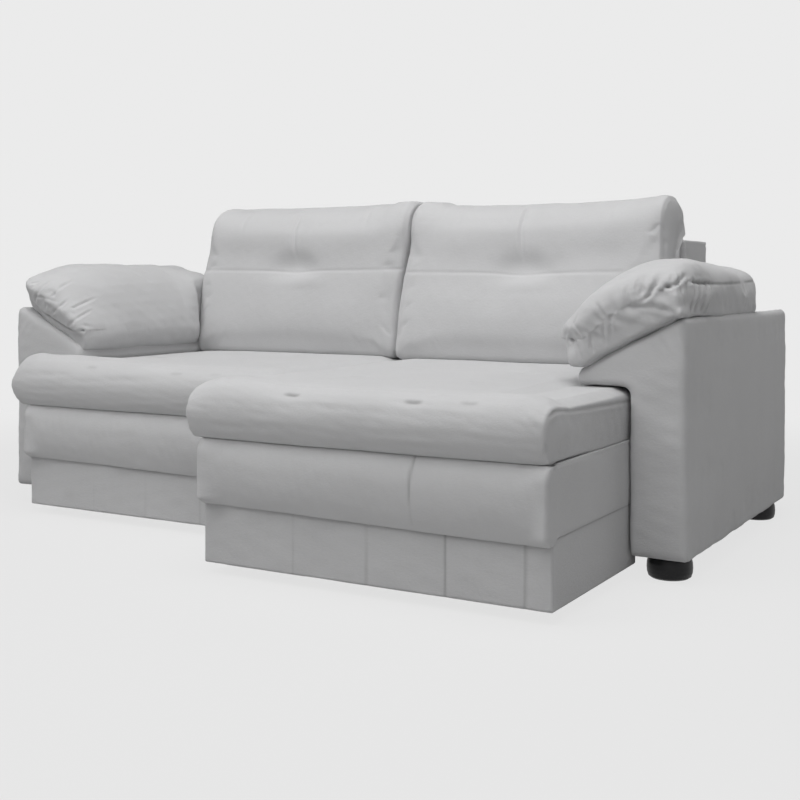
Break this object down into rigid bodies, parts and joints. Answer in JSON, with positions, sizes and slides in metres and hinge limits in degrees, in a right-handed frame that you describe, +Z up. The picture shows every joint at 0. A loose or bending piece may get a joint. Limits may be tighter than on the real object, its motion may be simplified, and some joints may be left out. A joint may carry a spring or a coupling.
{
  "type": "extendable sofa",
  "caption": "Sofa with padded arms and loose back cushions, whose seats each roll forward out of a fixed frame.",
  "frame": {"origin": "on the floor, under the middle of the whole sofa's box with the right seat pulled out", "axes": "+X to the right as seen from the front, +Y to the back, +Z up"},
  "size_m": [2.2, 1.493, 0.9755],
  "materials": {
    "cover_cloth": "matte",
    "cushion_cloth": "matte",
    "timber": "matte",
    "plywood": "matte",
    "webbing": "matte",
    "deck_felt": "matte",
    "steel": "satin",
    "black_plastic": "satin",
    "black_rubber": "matte"
  },
  "bodies": {
    "frame": {"left_arm_cover": "cover_cloth", "right_arm_cover": "cover_cloth", "left_arm_panels": "plywood", "right_arm_panels": "plywood", "left_arm_rails": "timber", "right_arm_rails": "timber", "left_arm_pad": "cushion_cloth", "right_arm_pad": "cushion_cloth", "bun_feet": "black_plastic", "foot_bolts": "steel", "middle_beam": "timber", "rear_beam": "timber", "frame_bolts": "steel", "centre_legs": "black_plastic", "back_posts": "timber", "back_boards": "plywood", "back_webbing": "webbing", "back_cover": "cover_cloth", "rear_panel": "cover_cloth", "left_back_cushion": "cushion_cloth", "right_back_cushion": "cushion_cloth", "left_rails": "steel", "right_rails": "steel", "rail_stops": "black_rubber", "rail_screws": "steel"},
    "left_seat": {"left_seat_cushion": "cushion_cloth", "left_seat_band": "cushion_cloth", "left_seat_skirt": "cushion_cloth", "left_seat_deck": "deck_felt", "left_seat_webbing": "webbing", "left_seat_front_board": "plywood", "left_seat_side_boards": "plywood", "left_seat_cross_boards": "timber", "left_corner_blocks": "timber", "left_wheel_forks": "steel", "left_roller_brackets": "steel", "left_axles": "steel", "left_seat_screws": "steel"},
    "left_front_wheels": {"left_front_wheels": "black_plastic"},
    "left_rear_rollers": {"left_rear_rollers": "black_plastic"},
    "right_seat": {"right_seat_cushion": "cushion_cloth", "right_seat_band": "cushion_cloth", "right_seat_skirt": "cushion_cloth", "right_seat_deck": "deck_felt", "right_seat_webbing": "webbing", "right_seat_front_board": "plywood", "right_seat_side_boards": "plywood", "right_seat_cross_boards": "timber", "right_corner_blocks": "timber", "right_wheel_forks": "steel", "right_roller_brackets": "steel", "right_axles": "steel", "right_seat_screws": "steel"},
    "right_front_wheels": {"right_front_wheels": "black_plastic"},
    "right_rear_rollers": {"right_rear_rollers": "black_plastic"}
  },
  "joints": [
    {"name": "left_seat_slide", "type": "slide", "parent": "frame", "child": "left_seat", "axis": [0, -1, 0], "range_m": [0, 0.365]},
    {"name": "left_front_wheels_spin", "type": "hinge", "parent": "left_seat", "child": "left_front_wheels", "pos_m": [-0.4775, -0.2175, 0.025], "axis": [1, 0, 0], "range_deg": [0, 837]},
    {"name": "left_rear_rollers_spin", "type": "hinge", "parent": "left_seat", "child": "left_rear_rollers", "pos_m": [-0.4775, 0.6285, 0.125], "axis": [1, 0, 0], "range_deg": [0, 1231]},
    {"name": "right_seat_slide", "type": "slide", "parent": "frame", "child": "right_seat", "axis": [0, -1, 0], "range_m": [-0.335, 0.03]},
    {"name": "right_front_wheels_spin", "type": "hinge", "parent": "right_seat", "child": "right_front_wheels", "pos_m": [0.4775, -0.5525, 0.025], "axis": [1, 0, 0], "range_deg": [-768, 69]},
    {"name": "right_rear_rollers_spin", "type": "hinge", "parent": "right_seat", "child": "right_rear_rollers", "pos_m": [0.4775, 0.2935, 0.125], "axis": [1, 0, 0], "range_deg": [-1130, 102]}
  ],
  "couplings": [
    {"joint": "left_front_wheels_spin", "follows": "left_seat_slide", "rad_per_m": 40},
    {"joint": "left_rear_rollers_spin", "follows": "left_seat_slide", "rad_per_m": 58.824},
    {"joint": "right_front_wheels_spin", "follows": "right_seat_slide", "rad_per_m": 40},
    {"joint": "right_rear_rollers_spin", "follows": "right_seat_slide", "rad_per_m": 58.824}
  ]
}
